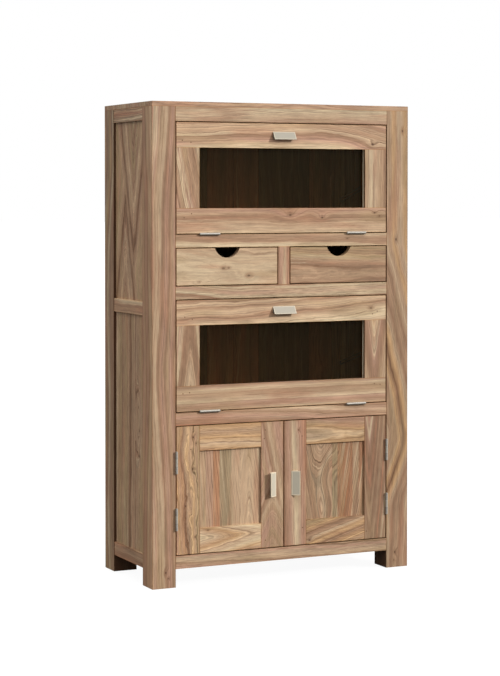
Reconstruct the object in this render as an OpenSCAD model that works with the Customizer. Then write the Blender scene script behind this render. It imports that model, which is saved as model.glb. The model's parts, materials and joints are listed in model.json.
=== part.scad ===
// Highboard: a wooden post and rail cabinet with two glazed flaps, two drawers and two doors.
// Millimetres. The front faces -Y, the back +Y, X runs from left to right and Z is up.
// The origin lies on the floor, in the middle of the width and of the depth over the handles.

/* [Overall] */
// Width over the posts
body_w = 900; // [820:10:1100]
// Depth from the front face to the back of the posts
body_d = 400; // [380:5:500]
// Height of the feet under the front bottom rail
foot_h = 57; // [40:1:100]

/* [Openings] */
// Height of the opening of each glazed flap
flap_opening_h = 350; // [300:10:420]
// Height of the opening of the drawers
drawer_opening_h = 120; // [110:5:180]
// Height of the opening of the doors
door_opening_h = 403; // [340:1:600]
// Gap round each flap, drawer front and door
gap = 3; // [2:0.5:4]

/* [Frame] */
// Width and depth of the square posts
post_w = 78; // [70:1:90]
// Height of the bottom rail and of the rails between the openings
rail_h = 40; // [36:1:50]
// Depth of the front rails and of the drawer divider
rail_d = 45; // [40:1:60]
// Height of the front and back top rails
top_rail_h = 45; // [36:1:60]
// Thickness of the top board
top_board_t = 15; // [12:1:30]
// Width of the divider between the drawers
divider_w = 40; // [30:2:60]

/* [Sides and back] */
// Height of the side rails
side_rail_h = 42; // [36:1:60]
// Height of the lowest side rails above the floor
side_rail_low_z = 54; // [40:1:80]
// Height of the middle side rails above the floor
side_rail_mid_z = 839; // [700:1:950]
// Distance of the side rails behind the faces of the posts
side_rail_inset = 1; // [0.5:0.5:3]
// Distance of the side panels behind the faces of the posts
side_panel_recess = 8; // [5:1:14]
// Thickness of the side panels
side_panel_t = 16; // [10:1:22]
// Distance of the back boards behind the backs of the posts
back_recess = 8; // [4:1:16]
// Thickness of the back boards
back_board_t = 10; // [6:1:16]
// Number of back boards
back_board_count = 8; // [4:1:12]
// Seam between two back boards
back_seam = 1; // [0.5:0.5:2]
// Overlap of a panel or board in its groove or rebate
groove_lap = 8; // [5:1:10]
// Play left at the edges of a panel in its groove
groove_play = 0.5; // [0.2:0.1:0.9]

/* [Shelves] */
// Thickness of the shelves and of the cupboard floor
shelf_t = 18; // [12:1:24]
// Width and height of the battens under the shelves
batten_w = 20; // [14:1:24]

/* [Flaps] */
// Thickness of the flap frames
flap_t = 22; // [20:1:24]
// Width of the rails and stiles of the flaps
flap_frame_w = 78; // [60:1:90]
// Distance of the glass behind the front of the flap
glass_recess = 14; // [10:1:15]
// Thickness of the glass
glass_t = 4; // [3:0.5:5]
// Overlap of the glass behind the flap frame
glass_lap = 8; // [6:1:12]
// Space between two neighbouring glass beads
bead_joint = 0.2; // [0.1:0.1:0.5]

/* [Doors] */
// Thickness of the door frames
door_t = 22; // [20:1:24]
// Width of the rails and stiles of the doors
door_frame_w = 78; // [60:1:90]
// Distance of the door panel behind the front of the door
door_panel_recess = 6; // [3:1:8]
// Thickness of the door panels
door_panel_t = 10; // [8:1:12]

/* [Drawers] */
// Thickness of the drawer fronts
drawer_front_t = 20; // [16:1:24]
// Width of the finger cut-out at the top edge of a drawer front
cutout_w = 86; // [60:2:110]
// Depth of the finger cut-out
cutout_depth = 30.5; // [20:0.5:40]
// Distance of a drawer box from the side of its opening
drawer_box_inset = 6; // [4:1:10]
// Thickness of the drawer sides and backs
drawer_side_t = 12; // [9:1:16]
// Height of the drawer sides
drawer_side_h = 88; // [60:2:96]
// Thickness of the drawer bottoms
drawer_bottom_t = 5; // [4:0.5:8]
// Height of the drawer bottom above the lower edge of the drawer sides
drawer_bottom_up = 8; // [6:1:14]
// Depth of the grooves that hold the drawer bottom
drawer_groove = 5; // [3:0.5:7]
// Height of the guides beside the drawer boxes
guide_h = 20; // [12:1:30]
// Play between a drawer box and the guide beside it, and behind the box
drawer_play = 0.5; // [0.3:0.1:1]
// Height at which a drawer box runs above its shelf
drawer_float = 0.3; // [0.2:0.1:0.6]
// Width of the stop on the drawer back
stop_w = 40; // [20:2:80]
// Thickness of the stop on the drawer back
stop_t = 12; // [8:1:20]
// Height of the stop above the lower edge of the rail that it meets
stop_up = 12; // [6:1:16]

/* [Hinges] */
// Length of a hinge along its pin
hinge_len = 68; // [50:1:90]
// Diameter of the hinge knuckles
knuckle_d = 8; // [6:0.2:8]
// Distance of the hinge pins in front of the front face
pin_out = 4.2; // [4.2:0.1:6]
// Diameter of the hinge pins
hinge_pin_d = 4; // [3:0.2:5]
// Radial play of a pin in its knuckle or stay
pin_play = 0.05; // [0.02:0.01:0.1]
// Width of a hinge leaf from the pin inwards
leaf_w = 22; // [16:1:24]
// Space between the two closed leaves, and between knuckles and leaves
leaf_space = 0.3; // [0.2:0.1:0.5]
// Distance of the flap hinges from the middle of the flap
flap_hinge_x = 258; // [150:2:300]
// Distance of the door hinges from the middle of the door's height
door_hinge_spread = 88; // [60:2:120]

/* [Handles] */
// Length of a handle along its fixed edge
handle_len = 77; // [60:1:120]
// Width of the slanted grip plate of a handle
handle_grip_w = 27; // [20:1:36]
// Width of the flat plate of a handle that is screwed to the wood
handle_base_w = 20; // [14:1:26]
// Thickness of the handle plates
handle_t = 1.5; // [1:0.1:3]
// Angle between the two handle plates
handle_angle = 30; // [24:1:40]
// Distance of a handle's fixed edge from the edge of its flap or door
handle_edge_in = 27; // [15:1:40]

/* [Flap stays] */
// Height of the stay pivot above the hinge pin with the flap closed
stay_pivot_up = 180; // [150:2:190]
// Distance of the stay pivot behind the back of the flap
stay_pivot_back = 8; // [8:0.5:12]
// Distance of the fixed stay pin behind the hinge pin
stay_pin_in = 65; // [56:1:68]
// Width of the stay bars
stay_w = 14; // [12:1:15]
// Thickness of the stay bars
stay_t = 3; // [2:0.5:4]
// Distance of the stay bars from the inner faces of the posts
stay_side = 6; // [5.5:0.5:8]
// Diameter of the fixed stay pins
stay_pin_d = 6; // [5:0.5:7]
// Diameter of the rivets that join the stays to the flaps
stay_rivet_d = 5; // [4:0.5:6]
// Play between a stay and the pins, plates and heads that it slides on
stay_play = 0.3; // [0.2:0.1:0.5]
// Thickness of the stay plates on the flaps and posts
stay_plate_t = 2; // [1.5:0.5:3]
// Length of the stay plates on the flaps and posts
stay_plate_len = 40; // [30:2:60]

/* [Catches] */
// Width of a magnetic catch
catch_w = 40; // [30:1:60]
// Depth of a magnetic catch
catch_d = 15; // [10:1:17]
// Height of a magnetic catch
catch_h = 14; // [10:1:18]
// Space between a catch and the closed flap or door
catch_play = 0.3; // [0.2:0.1:0.6]
// Distance of the door catches from the middle of the cabinet
door_catch_x = 45; // [35:1:70]

/* [Hidden] */
$fn = 48;

// Heights of the openings, from the floor up
door_z = [foot_h + rail_h, foot_h + rail_h + door_opening_h];
lower_flap_z = [door_z[1] + rail_h, door_z[1] + rail_h + flap_opening_h];
drawer_z = [lower_flap_z[1] + rail_h, lower_flap_z[1] + rail_h + drawer_opening_h];
upper_flap_z = [drawer_z[1] + rail_h, drawer_z[1] + rail_h + flap_opening_h];
post_h = upper_flap_z[1] + top_rail_h;
body_h = post_h + top_board_t;
side_rail_z = [side_rail_low_z, side_rail_mid_z, post_h - side_rail_h];

// Depths, from the front face to the back
handle_reach = handle_grip_w * sin(handle_angle) + handle_t * cos(handle_angle);
front_y = (handle_reach - body_d) / 2;
back_y = front_y + body_d;
rail_back_y = front_y + rail_d;
post_y = [front_y + post_w, back_y - post_w];
board_y = [back_y - back_recess - back_board_t, back_y - back_recess];

// Widths, from the middle outwards
outer_x = body_w / 2;
inner_x = outer_x - post_w;
panel_x = [outer_x - side_panel_recess - side_panel_t, outer_x - side_panel_recess];

// Hinge axes and leaves
knuckle_r = knuckle_d / 2;
hinge_pin_r = hinge_pin_d / 2;
leaf_t = (gap - leaf_space) / 2;
pin_y = front_y - pin_out;
lower_flap_pin_z = lower_flap_z[0] + gap / 2;
upper_flap_pin_z = upper_flap_z[0] + gap / 2;
door_pin_x = inner_x - gap / 2;
door_mid_z = (door_z[0] + door_z[1]) / 2;
pin_end = 1;

// Flaps, measured inside the gap round them
flap_x = inner_x - gap;
flap_h = flap_opening_h - 2 * gap;
sight_x = flap_x - flap_frame_w;
sight_h = flap_h - 2 * flap_frame_w;

// Doors: edges of the left one, from its hinge side to the middle of the cabinet
door_x = [-inner_x + gap, -gap / 2];
door_h = door_opening_h - 2 * gap;

// Drawers: edges of the left one's opening, box and stop
bay_x = [-inner_x, -divider_w / 2];
box_x = [bay_x[0] + drawer_box_inset, bay_x[1] - drawer_box_inset];
box_y = [front_y + drawer_front_t, board_y[0] - drawer_play];
box_z = [drawer_z[0] + drawer_float, drawer_z[0] + drawer_float + drawer_side_h];
bottom_z = [box_z[0] + drawer_bottom_up, box_z[0] + drawer_bottom_up + drawer_bottom_t];
box_joint = 0.1;
cut_over = 1;
cutout_r = (pow(cutout_w / 2, 2) + pow(cutout_depth, 2)) / (2 * cutout_depth);

// Stays: the pivot on the flap and the fixed pin lie equally far from the hinge pin,
// so the bar always turns through half the angle of the flap
flap_turn = 90;
stay_pivot = [pin_out + flap_t + stay_pivot_back, stay_pivot_up];
stay_radius = norm(stay_pivot);
stay_pin = [stay_pin_in, sqrt(pow(stay_radius, 2) - pow(stay_pin_in, 2))];
stay_reach_shut = norm(stay_pin - stay_pivot);
stay_reach_open = 2 * stay_radius * sin(asin(stay_reach_shut / 2 / stay_radius) + flap_turn / 2);
stay_tilt = atan2(stay_pin[1] - stay_pivot[1], stay_pin[0] - stay_pivot[0]);
stay_slot_r = stay_pin_d / 2 + stay_play;
stay_bar_x = [inner_x - stay_side - stay_t, inner_x - stay_side];
stay_head_t = 1.5;
stay_head_over = 2.5;

// Colours of the materials
pale_wood = [0.76, 0.62, 0.48];
red_wood = [0.70, 0.52, 0.40];
brown_wood = [0.60, 0.47, 0.36];
dark_wood = [0.42, 0.32, 0.24];
steel = [0.78, 0.77, 0.74];
grey_plastic = [0.35, 0.33, 0.31];
clear_glass = [0.20, 0.20, 0.18, 0.5];

// A box between two places along each axis
module block(x, y, z) {
    translate([x[0], y[0], z[0]])
        cube([x[1] - x[0], y[1] - y[0], z[1] - z[0]]);
}

// What is given, on the other side of the cabinet
module other_side() {
    mirror([1, 0, 0])
        children();
}

// What is given, on both sides of the cabinet
module both_sides() {
    children();
    other_side()
        children();
}

// Left side: the two panels, with the play left in their grooves
module side_panel_pair(play) {
    for (i = [0, 1])
        block([-panel_x[1], -panel_x[0]],
            [post_y[0] - groove_lap + play, post_y[1] + groove_lap - play],
            [side_rail_z[i] + side_rail_h - groove_lap + play,
                side_rail_z[i + 1] + groove_lap - play]);
}

// The room that the back boards fill
module back_field() {
    block([-inner_x - groove_lap, inner_x + groove_lap], board_y,
        [foot_h + rail_h - groove_lap, upper_flap_z[1] + groove_lap]);
}

module front_post() {
    color(red_wood)
        difference() {
            block([-outer_x, -inner_x], [front_y, post_y[0]], [0, post_h]);
            side_panel_pair(0);
        }
}

module back_post() {
    color(brown_wood)
        difference() {
            block([-outer_x, -inner_x], [post_y[1], back_y], [0, post_h]);
            side_panel_pair(0);
            back_field();
        }
}

module post_front_left() {
    front_post();
}

module post_front_right() {
    other_side()
        front_post();
}

module post_back_left() {
    back_post();
}

module post_back_right() {
    other_side()
        back_post();
}

module top_board() {
    color(pale_wood)
        block([-outer_x, outer_x], [front_y, back_y], [post_h, body_h]);
}

module front_rail(z, height) {
    color(pale_wood)
        block([-inner_x, inner_x], [front_y, rail_back_y], [z, z + height]);
}

module top_rail() {
    front_rail(upper_flap_z[1], top_rail_h);
}

module middle_rails() {
    for (z = [door_z[1], lower_flap_z[1], drawer_z[1]])
        front_rail(z, rail_h);
}

module bottom_rail() {
    front_rail(foot_h, rail_h);
}

module drawer_divider() {
    color(pale_wood)
        block([-divider_w / 2, divider_w / 2], [front_y, rail_back_y], drawer_z);
}

module left_side_rails() {
    color(brown_wood)
        difference() {
            for (z = side_rail_z)
                block([-outer_x + side_rail_inset, -panel_x[0]], post_y, [z, z + side_rail_h]);
            side_panel_pair(0);
        }
}

module right_side_rails() {
    other_side()
        left_side_rails();
}

module left_side_panels() {
    color(brown_wood)
        side_panel_pair(groove_play);
}

module right_side_panels() {
    other_side()
        left_side_panels();
}

module back_rails() {
    color(brown_wood)
        difference() {
            union() {
                block([-inner_x, inner_x], [board_y[0], back_y], [foot_h, foot_h + rail_h]);
                block([-inner_x, inner_x], [board_y[0], back_y], [upper_flap_z[1], post_h]);
            }
            back_field();
        }
}

module back_boards() {
    field = inner_x + groove_lap - groove_play;
    pitch = (2 * field + back_seam) / back_board_count;
    color(dark_wood)
        for (i = [0 : back_board_count - 1])
            block([-field + i * pitch, -field + (i + 1) * pitch - back_seam], board_y,
                [foot_h + rail_h - groove_lap + groove_play,
                    upper_flap_z[1] + groove_lap - groove_play]);
}

// A shelf that fills the cabinet behind a rail and is notched round the posts
module shelf(top_z) {
    z = [top_z - shelf_t, top_z];
    color(brown_wood)
        union() {
            block([-inner_x, inner_x], [rail_back_y, board_y[0]], z);
            block([-panel_x[0], panel_x[0]], post_y, z);
        }
}

module upper_shelf() {
    shelf(upper_flap_z[0]);
}

module drawer_shelf() {
    shelf(drawer_z[0]);
}

module lower_shelf() {
    shelf(lower_flap_z[0]);
}

module cupboard_floor() {
    shelf(door_z[0]);
}

module shelf_battens() {
    color(dark_wood)
        for (z = [door_z[0], lower_flap_z[0], drawer_z[0], upper_flap_z[0]])
            both_sides()
                block([-inner_x, -inner_x + batten_w], [rail_back_y, board_y[0]],
                    [z - shelf_t - batten_w, z - shelf_t]);
}

module drawer_side_guides() {
    color(dark_wood)
        both_sides()
            block([bay_x[0], box_x[0] - drawer_play], [rail_back_y, board_y[0]],
                [drawer_z[0], drawer_z[0] + guide_h]);
}

module drawer_centre_guide() {
    color(dark_wood)
        block([box_x[1] + drawer_play, -box_x[1] - drawer_play], [rail_back_y, board_y[0]],
            [drawer_z[0], drawer_z[0] + guide_h]);
}

// One knuckle of a hinge, along X between two places
module knuckle(x) {
    translate([x[0], 0, 0])
        rotate([0, 90, 0])
            cylinder(r = knuckle_r, h = x[1] - x[0]);
}

// The bore of a hinge, right through its knuckles
module hinge_bore() {
    translate([-hinge_len, 0, 0])
        rotate([0, 90, 0])
            cylinder(r = hinge_pin_r + pin_play, h = 2 * hinge_len);
}

// Middle third of a hinge, where the moving leaf has its knuckle
function middle_third() = [-hinge_len / 6, hinge_len / 6];

// Fixed leaf of a hinge whose pin lies along X, with the gap behind it along Y
module fixed_leaf() {
    z = [-gap / 2, -gap / 2 + leaf_t];
    ends = [[-hinge_len / 2, middle_third()[0] - leaf_space],
        [middle_third()[1] + leaf_space, hinge_len / 2]];
    color(steel)
        difference() {
            union() {
                block([-hinge_len / 2, hinge_len / 2], [knuckle_r + leaf_space, leaf_w], z);
                for (x = ends) {
                    knuckle(x);
                    block(x, [0, leaf_w], z);
                }
            }
            hinge_bore();
        }
}

module moving_leaf() {
    z = [gap / 2 - leaf_t, gap / 2];
    color(steel)
        difference() {
            union() {
                block([-hinge_len / 2, hinge_len / 2], [knuckle_r + leaf_space, leaf_w], z);
                knuckle(middle_third());
                block(middle_third(), [0, leaf_w], z);
            }
            hinge_bore();
        }
}

module hinge_pin() {
    color(steel)
        translate([-hinge_len / 2 - pin_end, 0, 0])
            rotate([0, 90, 0])
                cylinder(r = hinge_pin_r, h = hinge_len + 2 * pin_end);
}

// What is given, at both hinges of a flap
module at_flap_hinges(pin_z) {
    for (x = [-flap_hinge_x, flap_hinge_x])
        translate([x, pin_y, pin_z])
            children();
}

// What is given, at both hinges of the left door
module at_door_hinges() {
    for (z = [door_mid_z - door_hinge_spread, door_mid_z + door_hinge_spread])
        translate([-door_pin_x, pin_y, z])
            rotate([0, 90, 0])
                children();
}

module fixed_hinge_leaves() {
    at_flap_hinges(lower_flap_pin_z)
        fixed_leaf();
    at_flap_hinges(upper_flap_pin_z)
        fixed_leaf();
    both_sides()
        at_door_hinges()
            fixed_leaf();
}

module hinge_pins() {
    at_flap_hinges(lower_flap_pin_z)
        hinge_pin();
    at_flap_hinges(upper_flap_pin_z)
        hinge_pin();
    both_sides()
        at_door_hinges()
            hinge_pin();
}

// A handle bent from one plate, its fixed edge along X, its grip hanging down and out to -Y
module handle() {
    color(steel)
        translate([-handle_len / 2, 0, 0])
            rotate([0, 90, 0])
                rotate([0, 0, -90])
                    linear_extrude(handle_len)
                        handle_profile();
}

// The bent plate seen from its end: the wood lies along the Y axis, the outside at +X
module handle_profile() {
    difference() {
        union() {
            square([handle_t, handle_base_w]);
            rotate(-handle_angle)
                square([handle_t, handle_grip_w]);
            circle(r = handle_t);
        }
        translate([-2 * handle_t, -2 * handle_t])
            square([2 * handle_t, 2 * handle_grip_w]);
    }
}

// The rebate for the glass and its beads, in the back of a flap's frame
module flap_rebate(z) {
    block([-sight_x - glass_lap, sight_x + glass_lap],
        [front_y + glass_recess, front_y + flap_t],
        [z[0] + gap + flap_frame_w - glass_lap, z[1] - gap - flap_frame_w + glass_lap]);
}

// Rails of a flap, over its whole width
module flap_rails(z) {
    color(pale_wood)
        difference() {
            for (low = [z[0] + gap, z[1] - gap - flap_frame_w])
                block([-flap_x, flap_x], [front_y, front_y + flap_t], [low, low + flap_frame_w]);
            flap_rebate(z);
        }
}

// Stiles of a flap, between its rails
module flap_stiles(z) {
    color(pale_wood)
        difference() {
            both_sides()
                block([-flap_x, -sight_x], [front_y, front_y + flap_t],
                    [z[0] + gap + flap_frame_w, z[1] - gap - flap_frame_w]);
            flap_rebate(z);
        }
}

module flap_glass(z) {
    play = groove_play;
    color(clear_glass)
        block([-sight_x - glass_lap + play, sight_x + glass_lap - play],
            [front_y + glass_recess, front_y + glass_recess + glass_t],
            [z[0] + gap + flap_frame_w - glass_lap + play,
                z[1] - gap - flap_frame_w + glass_lap - play]);
}

module flap_beads(z) {
    y = [front_y + glass_recess + glass_t, front_y + flap_t];
    sight_z = [z[0] + gap + flap_frame_w, z[1] - gap - flap_frame_w];
    color(dark_wood) {
        for (low = [sight_z[0] - glass_lap, sight_z[1]])
            block([-sight_x - glass_lap, sight_x + glass_lap], y, [low, low + glass_lap]);
        both_sides()
            block([-sight_x - glass_lap, -sight_x], y,
                [sight_z[0] + bead_joint, sight_z[1] - bead_joint]);
    }
}

module flap_handle(z) {
    translate([0, front_y, z[1] - gap - handle_edge_in])
        handle();
}

// Head of a pin that lies along X
module head(x, diameter) {
    translate([x[0], 0, 0])
        rotate([0, 90, 0])
            cylinder(d = diameter, h = x[1] - x[0]);
}

// Bracket on the back of a flap with the rivet that the stay turns on
module stay_bracket(pin_z) {
    ear = [-stay_bar_x[0] + stay_play, -stay_bar_x[0] + stay_play + stay_plate_t];
    ear_r = stay_rivet_d / 2 + stay_head_over;
    back = -stay_pivot_back;
    color(steel)
        translate([0, pin_y + stay_pivot[0], pin_z + stay_pivot[1]])
            union() {
                block(ear, [back, 0], [-ear_r, ear_r]);
                head(ear, 2 * ear_r);
                block([ear[0], ear[1] + stay_w], [back, back + stay_plate_t],
                    [-stay_plate_len / 2, stay_plate_len / 2]);
                head([-stay_bar_x[1] - stay_play, ear[0]], stay_rivet_d);
                head([-stay_bar_x[1] - stay_play - stay_head_t, -stay_bar_x[1] - stay_play],
                    2 * ear_r);
            }
}

// Plate on the inner face of the left post with the pin that the stay slides on
module stay_pin_plate(pin_z) {
    half = stay_pin_d / 2 + stay_head_over;
    color(steel)
        translate([0, pin_y + stay_pin[0], pin_z + stay_pin[1]])
            union() {
                block([-inner_x, -inner_x + stay_plate_t], [-half, half],
                    [-stay_plate_len / 2, stay_plate_len / 2]);
                head([-inner_x + stay_plate_t, -stay_bar_x[0] + stay_play], stay_pin_d);
                head([-stay_bar_x[0] + stay_play, -stay_bar_x[0] + stay_play + stay_head_t],
                    2 * half);
            }
}

// A bar with round ends, its slot starting where the pin lies with the flap shut
module stay_profile() {
    difference() {
        union() {
            circle(d = stay_w);
            translate([0, -stay_w / 2])
                square([stay_reach_open, stay_w]);
            translate([stay_reach_open, 0])
                circle(d = stay_w);
        }
        circle(r = stay_rivet_d / 2 + pin_play);
        translate([stay_reach_shut, 0])
            circle(r = stay_slot_r);
        translate([stay_reach_shut, -stay_slot_r])
            square([stay_reach_open - stay_reach_shut, 2 * stay_slot_r]);
        translate([stay_reach_open, 0])
            circle(r = stay_slot_r);
    }
}

// The left stay of a flap
module stay(pin_z) {
    color(steel)
        translate([-stay_bar_x[1], pin_y + stay_pivot[0], pin_z + stay_pivot[1]])
            rotate([90, 0, 90])
                rotate([0, 0, stay_tilt])
                    linear_extrude(stay_t)
                        stay_profile();
}

module stay_pins() {
    both_sides() {
        stay_pin_plate(upper_flap_pin_z);
        stay_pin_plate(lower_flap_pin_z);
    }
}

// A catch under a rail, behind the closed flap or door
module catch_block(x, z, leaf_thickness) {
    back = front_y + leaf_thickness + catch_play;
    color(grey_plastic)
        block([x - catch_w / 2, x + catch_w / 2], [back, back + catch_d], [z - catch_h, z]);
}

module magnetic_catches() {
    catch_block(0, upper_flap_z[1], flap_t);
    catch_block(0, lower_flap_z[1], flap_t);
    catch_block(-door_catch_x, door_z[1], door_t);
    catch_block(door_catch_x, door_z[1], door_t);
}

module upper_flap_rails() {
    flap_rails(upper_flap_z);
}

module upper_flap_stiles() {
    flap_stiles(upper_flap_z);
}

module upper_flap_glass() {
    flap_glass(upper_flap_z);
}

module upper_flap_beads() {
    flap_beads(upper_flap_z);
}

module upper_flap_hinge_leaves() {
    at_flap_hinges(upper_flap_pin_z)
        moving_leaf();
}

module upper_flap_handle() {
    flap_handle(upper_flap_z);
}

module upper_flap_stay_brackets() {
    both_sides()
        stay_bracket(upper_flap_pin_z);
}

module lower_flap_rails() {
    flap_rails(lower_flap_z);
}

module lower_flap_stiles() {
    flap_stiles(lower_flap_z);
}

module lower_flap_glass() {
    flap_glass(lower_flap_z);
}

module lower_flap_beads() {
    flap_beads(lower_flap_z);
}

module lower_flap_hinge_leaves() {
    at_flap_hinges(lower_flap_pin_z)
        moving_leaf();
}

module lower_flap_handle() {
    flap_handle(lower_flap_z);
}

module lower_flap_stay_brackets() {
    both_sides()
        stay_bracket(lower_flap_pin_z);
}

// Left door: the panel, with the play left in its grooves
module door_panel(play) {
    lap = groove_lap - play;
    block([door_x[0] + door_frame_w - lap, door_x[1] - door_frame_w + lap],
        [front_y + door_panel_recess, front_y + door_panel_recess + door_panel_t],
        [door_z[0] + gap + door_frame_w - lap, door_z[1] - gap - door_frame_w + lap]);
}

module left_door_stiles() {
    color(pale_wood)
        difference() {
            for (low = [door_x[0], door_x[1] - door_frame_w])
                block([low, low + door_frame_w], [front_y, front_y + door_t],
                    [door_z[0] + gap, door_z[1] - gap]);
            door_panel(0);
        }
}

module left_door_rails() {
    color(pale_wood)
        difference() {
            for (low = [door_z[0] + gap, door_z[1] - gap - door_frame_w])
                block([door_x[0] + door_frame_w, door_x[1] - door_frame_w],
                    [front_y, front_y + door_t], [low, low + door_frame_w]);
            door_panel(0);
        }
}

module left_door_panel() {
    color(red_wood)
        door_panel(groove_play);
}

module left_door_hinge_leaves() {
    at_door_hinges()
        moving_leaf();
}

module left_door_handle() {
    translate([door_x[1] - handle_edge_in, front_y, door_mid_z])
        rotate([0, 90, 0])
            handle();
}

module right_door_stiles() {
    other_side()
        left_door_stiles();
}

module right_door_rails() {
    other_side()
        left_door_rails();
}

module right_door_panel() {
    other_side()
        left_door_panel();
}

module right_door_hinge_leaves() {
    other_side()
        left_door_hinge_leaves();
}

module right_door_handle() {
    other_side()
        left_door_handle();
}

// Left drawer: the bottom board, with the play left in its grooves
module drawer_bottom(play) {
    lap = drawer_groove - play;
    block([box_x[0] + drawer_side_t - lap, box_x[1] - drawer_side_t + lap],
        [box_y[0] - lap, box_y[1] - drawer_side_t + lap], bottom_z);
}

module left_drawer_front() {
    top_z = drawer_z[1] - gap;
    color(red_wood)
        difference() {
            block([bay_x[0] + gap, bay_x[1] - gap], [front_y, box_y[0]],
                [drawer_z[0] + gap, top_z]);
            translate([(bay_x[0] + bay_x[1]) / 2, front_y - cut_over, top_z - cutout_depth + cutout_r])
                rotate([-90, 0, 0])
                    cylinder(r = cutout_r, h = drawer_front_t + 2 * cut_over, $fn = 96);
            drawer_bottom(0);
        }
}

module left_drawer_box() {
    inside_x = [box_x[0] + drawer_side_t, box_x[1] - drawer_side_t];
    back_front_y = box_y[1] - drawer_side_t;
    middle_x = (box_x[0] + box_x[1]) / 2;
    color(brown_wood)
        difference() {
            union() {
                block([box_x[0], inside_x[0]], box_y, box_z);
                block([inside_x[1], box_x[1]], box_y, box_z);
                block([inside_x[0] + box_joint, inside_x[1] - box_joint],
                    [back_front_y, box_y[1]], box_z);
                block([middle_x - stop_w / 2, middle_x + stop_w / 2],
                    [back_front_y - stop_t, back_front_y], [bottom_z[1], drawer_z[1] + stop_up]);
            }
            drawer_bottom(0);
        }
}

module left_drawer_bottom() {
    color(dark_wood)
        drawer_bottom(groove_play);
}

module right_drawer_front() {
    other_side()
        left_drawer_front();
}

module right_drawer_box() {
    other_side()
        left_drawer_box();
}

module right_drawer_bottom() {
    other_side()
        left_drawer_bottom();
}

module upper_left_stay() {
    stay(upper_flap_pin_z);
}

module upper_right_stay() {
    other_side()
        stay(upper_flap_pin_z);
}

module lower_left_stay() {
    stay(lower_flap_pin_z);
}

module lower_right_stay() {
    other_side()
        stay(lower_flap_pin_z);
}

post_front_left();
post_front_right();
post_back_left();
post_back_right();
top_board();
top_rail();
middle_rails();
bottom_rail();
drawer_divider();
left_side_rails();
right_side_rails();
left_side_panels();
right_side_panels();
back_rails();
back_boards();
upper_shelf();
drawer_shelf();
lower_shelf();
cupboard_floor();
shelf_battens();
drawer_side_guides();
drawer_centre_guide();
fixed_hinge_leaves();
hinge_pins();
stay_pins();
magnetic_catches();
upper_flap_rails();
upper_flap_stiles();
upper_flap_glass();
upper_flap_beads();
upper_flap_hinge_leaves();
upper_flap_handle();
upper_flap_stay_brackets();
lower_flap_rails();
lower_flap_stiles();
lower_flap_glass();
lower_flap_beads();
lower_flap_hinge_leaves();
lower_flap_handle();
lower_flap_stay_brackets();
left_door_stiles();
left_door_rails();
left_door_panel();
left_door_hinge_leaves();
left_door_handle();
right_door_stiles();
right_door_rails();
right_door_panel();
right_door_hinge_leaves();
right_door_handle();
left_drawer_front();
left_drawer_box();
left_drawer_bottom();
right_drawer_front();
right_drawer_box();
right_drawer_bottom();
upper_left_stay();
upper_right_stay();
lower_left_stay();
lower_right_stay();
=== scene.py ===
"""Looks of the highboard: wood, steel, glass and small fasteners round its fixed CAD frame."""

import json
import math
import random

import bmesh
import bpy
from mathutils import Matrix, Vector


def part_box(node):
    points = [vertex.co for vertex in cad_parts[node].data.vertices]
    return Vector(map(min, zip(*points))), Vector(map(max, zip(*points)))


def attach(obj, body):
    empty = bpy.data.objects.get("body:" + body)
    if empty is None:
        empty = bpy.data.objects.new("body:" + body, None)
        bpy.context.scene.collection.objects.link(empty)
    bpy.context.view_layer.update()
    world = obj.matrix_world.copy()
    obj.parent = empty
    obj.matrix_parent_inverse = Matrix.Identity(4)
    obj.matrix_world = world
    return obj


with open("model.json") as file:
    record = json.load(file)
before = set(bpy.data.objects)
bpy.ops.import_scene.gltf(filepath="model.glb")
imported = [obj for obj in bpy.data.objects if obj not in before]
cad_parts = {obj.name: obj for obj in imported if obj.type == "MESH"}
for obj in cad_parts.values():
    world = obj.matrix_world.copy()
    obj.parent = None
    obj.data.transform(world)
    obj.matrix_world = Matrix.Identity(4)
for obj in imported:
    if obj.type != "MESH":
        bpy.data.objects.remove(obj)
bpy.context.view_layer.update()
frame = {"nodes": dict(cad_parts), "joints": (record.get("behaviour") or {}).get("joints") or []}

NODES = frame["nodes"]
MM = 0.001

# Camera: the photograph's own view of the highboard, fitted to it in pixels
PHOTO_HEIGHT = 676
FOCAL_PIXELS = 1922.2
SHIFT_PIXELS = -100
SENSOR = 36
VIEW_PLACE = Vector((-2.6976, -5.6314, 1.2079))
VIEW_YAW = math.radians(25.371)
VIEW_PITCH = math.radians(-1.241)

# Tones of the wood, as sRGB, from pale sapwood to dark lines and knots
TONES = {
    "cream": (192, 170, 138),
    "sand": (178, 150, 120),
    "gold": (180, 143, 102),
    "tan": (164, 133, 104),
    "rose": (167, 130, 107),
    "olive": (151, 126, 92),
    "moss": (140, 124, 94),
    "red": (160, 114, 87),
    "brown": (140, 107, 82),
    "rust": (158, 104, 70),
    "umber": (103, 70, 46),
    "knot": (74, 48, 34),
}
WHITE = (1, 1, 1)

# Patches in the wood: length along the grain and breadth in millimetres, and detail of the noise
PATCHES = {
    "long sway": (380, 130, 2),
    "sway": (120, 40, 2),
    "curl": (35, 11, 2),
    "band": (420, 60, 2),
    "hue": (300, 45, 2),
    "line": (260, 50, 2),
    "blotch": (110, 34, 3),
    "streak": (90, 4.5, 2),
    "wisp": (28, 3.8, 2),
    "crease": (50, 3.4, 2),
    "fibre": (38, 1.1, 2),
    "pore": (12, 0.6, 1),
    "knot": (9, 5, 2),
}
# Rings: how many changes to a millimetre, and the detail and roughness of their noise
RINGS = {
    "broad": (0.042, 5, 0.66),
    "single": (0.3, 2, 0.6),
    "dark": (0.17, 3, 0.6),
}
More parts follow.
